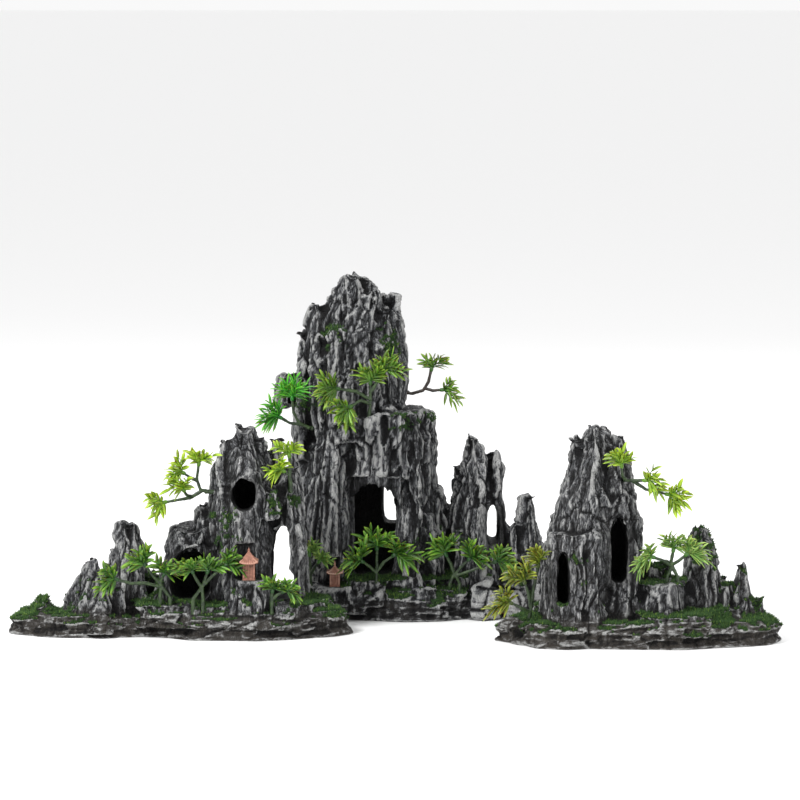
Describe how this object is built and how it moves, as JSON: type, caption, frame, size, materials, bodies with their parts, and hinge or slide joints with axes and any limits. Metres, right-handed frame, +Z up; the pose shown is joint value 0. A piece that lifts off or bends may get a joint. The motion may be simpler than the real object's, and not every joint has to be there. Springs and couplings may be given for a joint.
{
  "type": "aquarium rockery ornament",
  "caption": "Resin karst-mountain rockery for a tank or pond: separate castings with caves and windows, small pavilions, and plastic plants that plug into sockets.",
  "frame": {"origin": "middle of the set's footprint, on the floor it stands on", "axes": "+X along the row of castings towards the right-hand island, +Y towards the back, +Z up"},
  "size_m": [0.7, 0.2662, 0.3249],
  "materials": {
    "resin_rock": "cast resin, charcoal grey dry-brushed with pale grey, flocked with green moss",
    "pavilion_resin": "cast resin painted terracotta, matt",
    "stem_plastic": "dark green moulded plastic, satin",
    "leaf_plastic": "green moulded plastic, yellow-green at the tips"
  },
  "bodies": {
    "main": {"main_mountain": "resin_rock", "main_pavilion": "pavilion_resin"},
    "left": {"left_range": "resin_rock", "left_pavilion": "pavilion_resin"},
    "right": {"right_island": "resin_rock"},
    "cliff_tree": {"cliff_tree_sprig_1": "leaf_plastic", "cliff_tree_sprig_2": "leaf_plastic", "cliff_tree_sprig_3": "leaf_plastic", "cliff_tree_sprig_4": "leaf_plastic", "cliff_tree_trunk": "stem_plastic"},
    "twin_leg_tree": {"twin_leg_tree_sprig_1": "leaf_plastic", "twin_leg_tree_sprig_2": "leaf_plastic", "twin_leg_tree_sprig_3": "leaf_plastic", "twin_leg_tree_trunk": "stem_plastic"},
    "rim_tree": {"rim_tree_sprig_1": "leaf_plastic", "rim_tree_sprig_2": "leaf_plastic", "rim_tree_sprig_3": "leaf_plastic", "rim_tree_trunk": "stem_plastic"},
    "ledge_fern": {"ledge_fern_sprig_1": "leaf_plastic", "ledge_fern_sprig_2": "leaf_plastic", "ledge_fern_trunk": "stem_plastic"},
    "crest_fern": {"crest_fern_sprig_1": "leaf_plastic", "crest_fern_sprig_2": "leaf_plastic", "crest_fern_trunk": "stem_plastic"},
    "summit_tree": {"summit_tree_sprig_1": "leaf_plastic", "summit_tree_sprig_2": "leaf_plastic", "summit_tree_sprig_3": "leaf_plastic", "summit_tree_sprig_4": "leaf_plastic", "summit_tree_trunk": "stem_plastic"},
    "outer_tree": {"outer_tree_sprig_1": "leaf_plastic", "outer_tree_sprig_2": "leaf_plastic", "outer_tree_trunk": "stem_plastic"},
    "bright_tree": {"bright_tree_sprig_1": "leaf_plastic", "bright_tree_sprig_2": "leaf_plastic", "bright_tree_trunk": "stem_plastic"},
    "ledge_bush": {"ledge_bush_sprig_1": "leaf_plastic", "ledge_bush_sprig_2": "leaf_plastic", "ledge_bush_trunk": "stem_plastic"},
    "cave_fern": {"cave_fern_sprig_1": "leaf_plastic", "cave_fern_sprig_2": "leaf_plastic", "cave_fern_sprig_3": "leaf_plastic", "cave_fern_trunk": "stem_plastic"},
    "meadow_fern": {"meadow_fern_sprig_1": "leaf_plastic", "meadow_fern_sprig_2": "leaf_plastic", "meadow_fern_sprig_3": "leaf_plastic", "meadow_fern_trunk": "stem_plastic"},
    "shore_fern": {"shore_fern_sprig_1": "leaf_plastic", "shore_fern_sprig_2": "leaf_plastic", "shore_fern_sprig_3": "leaf_plastic", "shore_fern_trunk": "stem_plastic"},
    "peak_tree": {"peak_tree_sprig_1": "leaf_plastic", "peak_tree_sprig_2": "leaf_plastic", "peak_tree_sprig_3": "leaf_plastic", "peak_tree_trunk": "stem_plastic"},
    "terrace_tree": {"terrace_tree_sprig_1": "leaf_plastic", "terrace_tree_sprig_2": "leaf_plastic", "terrace_tree_sprig_3": "leaf_plastic", "terrace_tree_trunk": "stem_plastic"}
  },
  "joints": [
    {"name": "left_slide", "type": "slide", "parent": "main", "child": "left", "axis": [-1, 0, 0], "range_m": [0, 0.1]},
    {"name": "right_slide", "type": "slide", "parent": "main", "child": "right", "axis": [1, 0, 0], "range_m": [0, 0.06]},
    {"name": "cliff_tree_pull", "type": "slide", "parent": "left", "child": "cliff_tree", "axis": [-1, 0, 0], "range_m": [0, 0.02]},
    {"name": "twin_leg_tree_pull", "type": "slide", "parent": "left", "child": "twin_leg_tree", "axis": [0, 0, 1], "range_m": [0, 0.02]},
    {"name": "rim_tree_pull", "type": "slide", "parent": "left", "child": "rim_tree", "axis": [0, 0, 1], "range_m": [0, 0.02]},
    {"name": "ledge_fern_pull", "type": "slide", "parent": "left", "child": "ledge_fern", "axis": [0, 0, 1], "range_m": [0, 0.02]},
    {"name": "crest_fern_pull", "type": "slide", "parent": "left", "child": "crest_fern", "axis": [0, 0, 1], "range_m": [0, 0.02]},
    {"name": "summit_tree_pull", "type": "slide", "parent": "main", "child": "summit_tree", "axis": [0, 0, 1], "range_m": [0, 0.02]},
    {"name": "outer_tree_pull", "type": "slide", "parent": "main", "child": "outer_tree", "axis": [1, 0, 0], "range_m": [0, 0.02]},
    {"name": "bright_tree_pull", "type": "slide", "parent": "main", "child": "bright_tree", "axis": [0, -1, 0], "range_m": [0, 0.02]},
    {"name": "ledge_bush_pull", "type": "slide", "parent": "main", "child": "ledge_bush", "axis": [0, 0, 1], "range_m": [0, 0.02]},
    {"name": "cave_fern_pull", "type": "slide", "parent": "main", "child": "cave_fern", "axis": [0, 0, 1], "range_m": [0, 0.02]},
    {"name": "meadow_fern_pull", "type": "slide", "parent": "main", "child": "meadow_fern", "axis": [0, 0, 1], "range_m": [0, 0.02]},
    {"name": "shore_fern_pull", "type": "slide", "parent": "right", "child": "shore_fern", "axis": [0, 0, 1], "range_m": [0, 0.02]},
    {"name": "peak_tree_pull", "type": "slide", "parent": "right", "child": "peak_tree", "axis": [0, -1, 0], "range_m": [0, 0.02]},
    {"name": "terrace_tree_pull", "type": "slide", "parent": "right", "child": "terrace_tree", "axis": [0, 0, 1], "range_m": [0, 0.02]}
  ]
}
